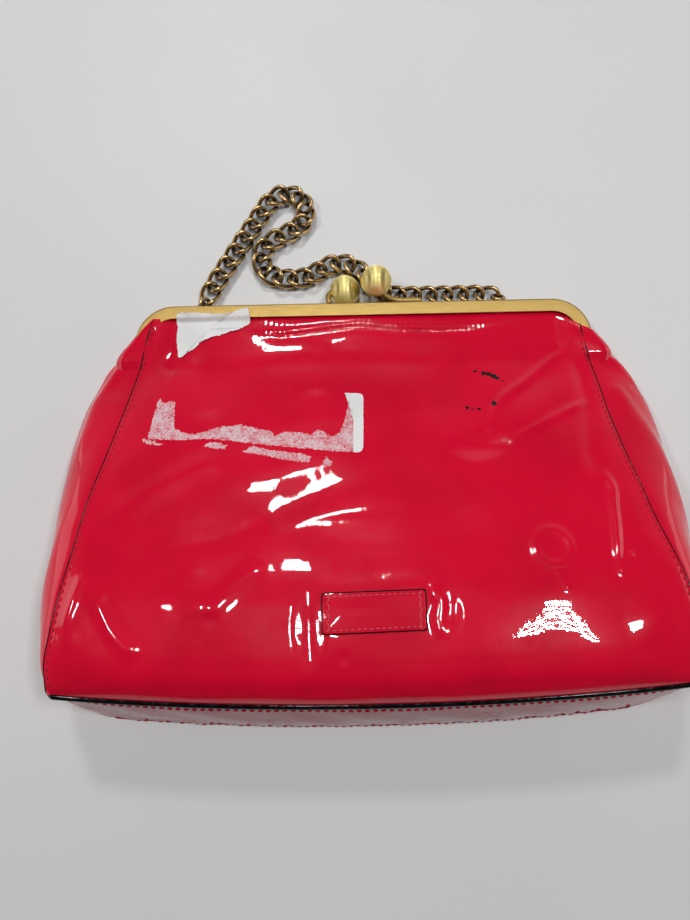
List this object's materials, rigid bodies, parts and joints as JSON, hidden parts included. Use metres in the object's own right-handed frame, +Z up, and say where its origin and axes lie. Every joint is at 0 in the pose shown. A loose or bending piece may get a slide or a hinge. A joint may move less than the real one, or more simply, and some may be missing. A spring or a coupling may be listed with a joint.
{
  "type": "kiss lock frame handbag",
  "caption": "Patent leather handbag with a hinged metal frame, a ball kiss lock, a sewn base with side gussets and a curb chain handle, lying on its back.",
  "frame": {"origin": "On the table under the middle of the bag's bounding box, chain handle left out.", "axes": "The bag lies on its back. +X runs to the right across the bag, +Y from the base towards the frame, +Z up from the table."},
  "size_m": [0.3454, 0.3354, 0.073],
  "materials": {
    "patent_leather": "high gloss patent",
    "patch_leather": "semi gloss with dark edge",
    "gold_metal": "satin gold plate",
    "chain_metal": "aged dark brass",
    "black_edge": "gloss black edge paint",
    "lining_cloth": "plain woven lining",
    "board": "raw board",
    "paper_cord": "twisted paper"
  },
  "bodies": {
    "bag": {"rear_frame": "gold_metal", "hinge_rivets": "gold_metal", "rear_lock_arm": "gold_metal", "rear_lock_ball": "gold_metal", "left_chain_lug": "chain_metal", "right_chain_lug": "chain_metal", "handle_chain": "chain_metal", "front_panel_lower": "patent_leather", "rear_panel": "patent_leather", "base_panel": "patent_leather", "left_gusset": "patent_leather", "right_gusset": "patent_leather", "base_board": "board", "front_lining_lower": "lining_cloth", "rear_lining": "lining_cloth", "base_lining": "lining_cloth", "left_gusset_lining": "lining_cloth", "right_gusset_lining": "lining_cloth", "front_base_welt": "black_edge", "rear_base_welt": "black_edge", "name_patch": "patch_leather", "rear_channel_cord": "paper_cord"},
    "front_half": {"front_frame": "gold_metal", "front_lock_arm": "gold_metal", "front_lock_ball": "gold_metal", "front_panel_upper": "patent_leather", "front_lining_upper": "lining_cloth", "front_channel_cord": "paper_cord"}
  },
  "joints": [
    {"name": "frame_hinge", "type": "hinge", "parent": "bag", "child": "front_half", "pos_m": [0, 0.0827, 0.0089], "axis": [1, 0, 0], "range_deg": [0, 70]}
  ]
}
